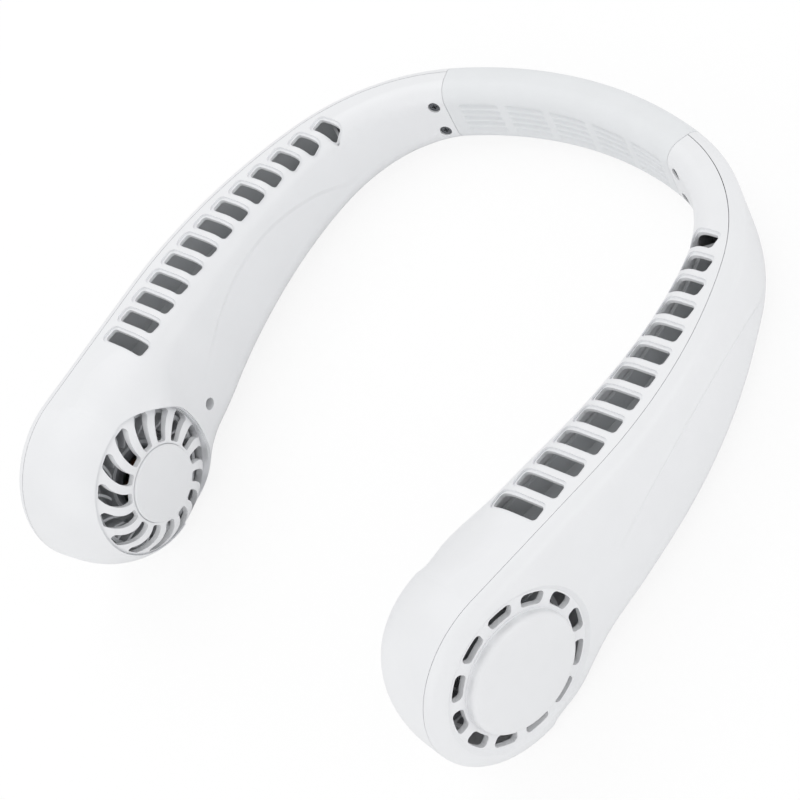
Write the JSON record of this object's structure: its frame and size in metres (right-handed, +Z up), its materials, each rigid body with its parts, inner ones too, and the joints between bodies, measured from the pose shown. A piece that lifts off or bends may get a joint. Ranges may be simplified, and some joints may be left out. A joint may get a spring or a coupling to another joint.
{
  "type": "bladeless neck fan",
  "caption": "Bladeless neck fan: two slotted arms, each with a round blower housing at its end, joined behind the neck by a soft ribbed bridge.",
  "frame": {"origin": "middle of the footprint, on the surface that the fan stands on", "axes": "+X to the right arm, +Y from the blowers back to the bridge, +Z up"},
  "size_m": [0.1982, 0.2026, 0.0602],
  "materials": {
    "shell_plastic": "satin",
    "cap_plastic": "satin",
    "bridge_rubber": "matte",
    "duct_plastic": "matte",
    "wheel_plastic": "matte",
    "motor_plastic": "matte",
    "core_steel": "satin",
    "shaft_steel": "polished",
    "screw_steel": "satin",
    "magnet": "matte",
    "copper": "satin",
    "bronze": "satin",
    "board": "satin",
    "battery_wrap": "gloss",
    "cable_rubber": "matte",
    "lens": "clear"
  },
  "bodies": {
    "bridge": {"bridge_sleeve": "bridge_rubber", "spring_strip": "core_steel", "bridge_cable": "cable_rubber"},
    "left_arm": {"left_inner_shell": "shell_plastic", "left_outer_cover": "shell_plastic", "left_intake_cap": "cap_plastic", "left_grille_cap": "cap_plastic", "left_motor_base": "motor_plastic", "left_bearing_bush": "bronze", "left_motor_stator": "core_steel", "left_motor_windings": "copper", "left_motor_board": "board", "left_air_duct": "duct_plastic", "left_battery": "battery_wrap", "left_arm_screws": "screw_steel", "left_bridge_plug": "motor_plastic", "left_arm_wire": "cable_rubber", "control_board": "board", "push_switch": "motor_plastic", "indicator_lenses": "lens", "charging_socket": "shaft_steel"},
    "right_arm": {"right_inner_shell": "shell_plastic", "right_outer_cover": "shell_plastic", "right_intake_cap": "cap_plastic", "right_grille_cap": "cap_plastic", "right_motor_base": "motor_plastic", "right_bearing_bush": "bronze", "right_motor_stator": "core_steel", "right_motor_windings": "copper", "right_motor_board": "board", "right_air_duct": "duct_plastic", "right_battery": "battery_wrap", "right_arm_screws": "screw_steel", "right_bridge_plug": "motor_plastic", "right_arm_wire": "cable_rubber"},
    "left_fan": {"left_impeller": "wheel_plastic", "left_rotor_can": "core_steel", "left_rotor_magnet": "magnet", "left_motor_shaft": "shaft_steel"},
    "right_fan": {"right_impeller": "wheel_plastic", "right_rotor_can": "core_steel", "right_rotor_magnet": "magnet", "right_motor_shaft": "shaft_steel"},
    "button": {"power_button": "cap_plastic"}
  },
  "joints": [
    {"name": "left_arm_flex", "type": "hinge", "parent": "bridge", "child": "left_arm", "pos_m": [-0.0257, 0.09324, 0.0236], "axis": [0, -0.221, -0.9753], "range_deg": [-6, 18], "stiffness_Nm_per_rad": 0.6, "deforming": ["bridge_sleeve", "spring_strip", "bridge_cable"]},
    {"name": "right_arm_flex", "type": "hinge", "parent": "bridge", "child": "right_arm", "pos_m": [0.0257, 0.09324, 0.0236], "axis": [0, 0.221, 0.9753], "range_deg": [-6, 18], "stiffness_Nm_per_rad": 0.6, "deforming": ["bridge_sleeve", "spring_strip", "bridge_cable"]},
    {"name": "left_fan_spin", "type": "hinge", "parent": "left_arm", "child": "left_fan", "pos_m": [-0.0915, -0.07206, 0.0303], "axis": [-0.9912, -0.129, 0.0292], "continuous": true},
    {"name": "right_fan_spin", "type": "hinge", "parent": "right_arm", "child": "right_fan", "pos_m": [0.0915, -0.07206, 0.0303], "axis": [0.9912, -0.129, 0.0292], "continuous": true},
    {"name": "button_press", "type": "slide", "parent": "left_arm", "child": "button", "axis": [0.9912, 0.129, -0.0292], "range_m": [0, 0.0005], "stiffness_N_per_m": 2000}
  ]
}
